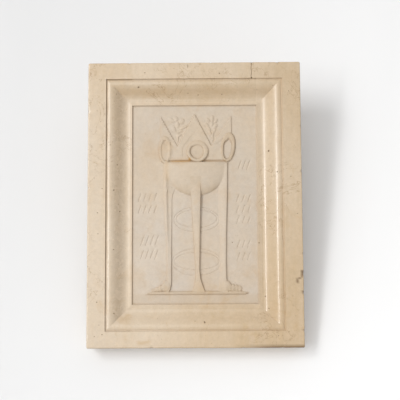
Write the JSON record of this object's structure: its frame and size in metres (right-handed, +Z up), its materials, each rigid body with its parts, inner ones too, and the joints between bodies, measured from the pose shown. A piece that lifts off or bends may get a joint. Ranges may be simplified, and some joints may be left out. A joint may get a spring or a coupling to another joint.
{
  "type": "stone relief panel",
  "caption": "Upright limestone wall plaque with a flat border and deep moulding around a sunk field, carved in low relief with a three-legged cauldron, ring handles and short cut strokes.",
  "frame": {"origin": "centre of the flat back face, which lies against the wall", "axes": "+Z up, +Y into the wall behind the panel; the carved front faces -Y and +X is to its right"},
  "size_m": [0.3, 0.035, 0.4],
  "materials": {
    "limestone": "honed"
  },
  "bodies": {
    "root": {"relief_panel": "limestone"}
  },
  "joints": []
}
